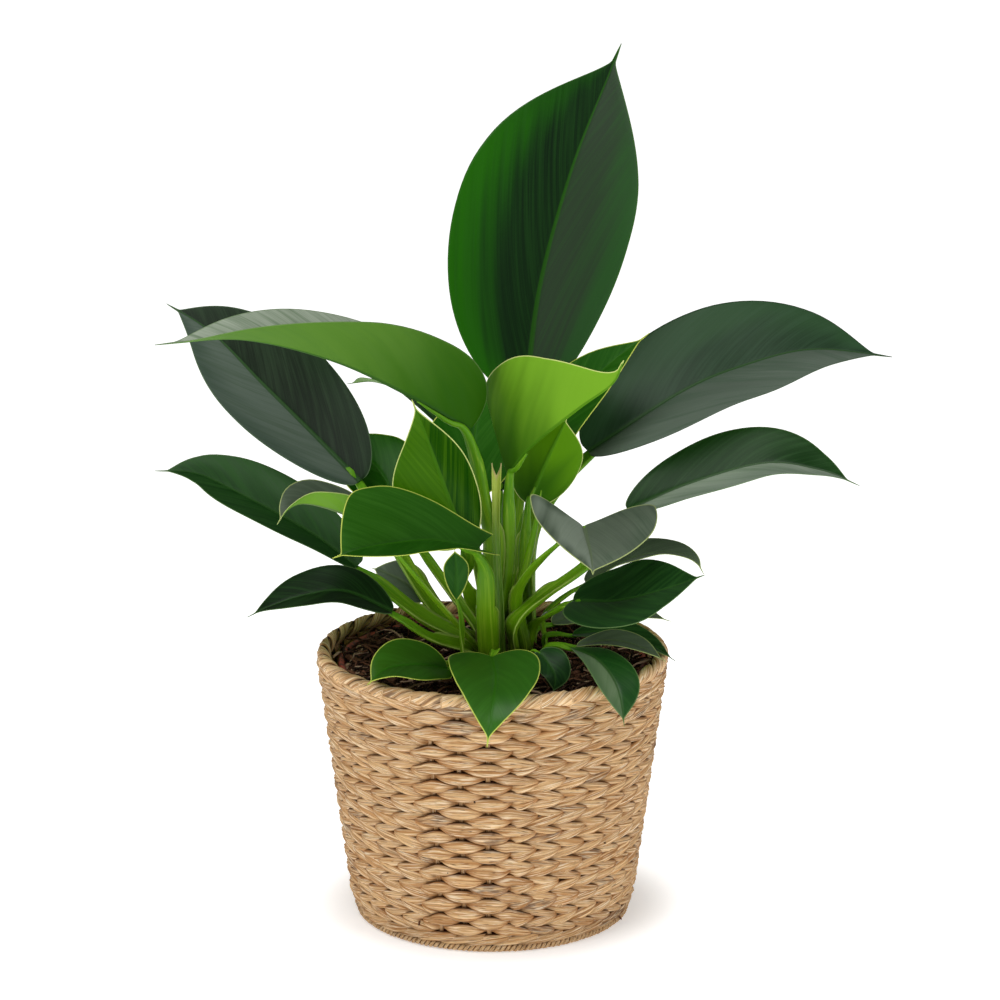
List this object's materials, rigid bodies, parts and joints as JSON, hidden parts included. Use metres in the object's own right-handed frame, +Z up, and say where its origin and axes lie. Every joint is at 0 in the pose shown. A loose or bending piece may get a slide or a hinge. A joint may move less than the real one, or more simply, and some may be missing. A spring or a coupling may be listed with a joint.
{
  "type": "potted green princess philodendron",
  "caption": "Aroid house plant with long-stalked pointed green leaves growing from one crown, in a nursery pot set inside a woven round basket.",
  "frame": {"origin": "on the ground under the middle of the basket", "axes": "+Z up, -Y towards the front of the plant, +X to its right seen from the front"},
  "size_m": [0.464, 0.2787, 0.5312],
  "materials": {
    "basket_strand": "matt dry plant fibre, woven",
    "basket_foot": "matt dry plant fibre, coiled",
    "nursery_pot": "satin terracotta-brown plastic",
    "bark_soil": "rough fibrous bark soil",
    "stalk": "smooth satin green plant skin",
    "sheath": "dry pale sheath",
    "leaf_dark": "waxy gloss, dark green, pale edge",
    "leaf_mid": "waxy gloss, mid green, pale edge",
    "leaf_fresh": "waxy satin, yellow-green underside, pale edge",
    "leaf_grey": "waxy gloss with grey sheen, pale edge"
  },
  "bodies": {
    "root": {"basket_wall": "basket_strand", "rim_braid": "basket_strand", "foot_braid": "basket_foot", "nursery_pot": "nursery_pot", "soil": "bark_soil", "crown": "stalk", "spear": "stalk", "sheath_stub": "sheath", "leaf_tall": "leaf_dark", "leaf_arch_left": "leaf_dark", "leaf_spout": "leaf_fresh", "leaf_bright": "leaf_fresh", "leaf_behind_right": "leaf_mid", "leaf_big_right": "leaf_dark", "leaf_low_right": "leaf_dark", "leaf_far_left": "leaf_dark", "leaf_low_left": "leaf_dark", "leaf_small_curl": "leaf_grey", "leaf_heart": "leaf_mid", "leaf_fresh": "leaf_fresh", "leaf_grey_heart": "leaf_grey", "leaf_green_right": "leaf_dark", "leaf_back_right": "leaf_grey", "leaf_back_low": "leaf_grey", "leaf_rim_right_1": "leaf_dark", "leaf_rim_right_2": "leaf_grey", "leaf_droop_right": "leaf_dark", "leaf_front_heart": "leaf_mid", "leaf_front_left": "leaf_mid", "leaf_left_low": "leaf_dark", "leaf_small_dark": "leaf_dark", "leaf_back_mid": "leaf_mid", "leaf_back_thin": "leaf_dark", "leaf_back_centre": "leaf_mid", "leaf_back_straight": "leaf_dark", "leaf_back_left": "leaf_grey", "leaf_small_oval": "leaf_mid"}
  },
  "joints": []
}
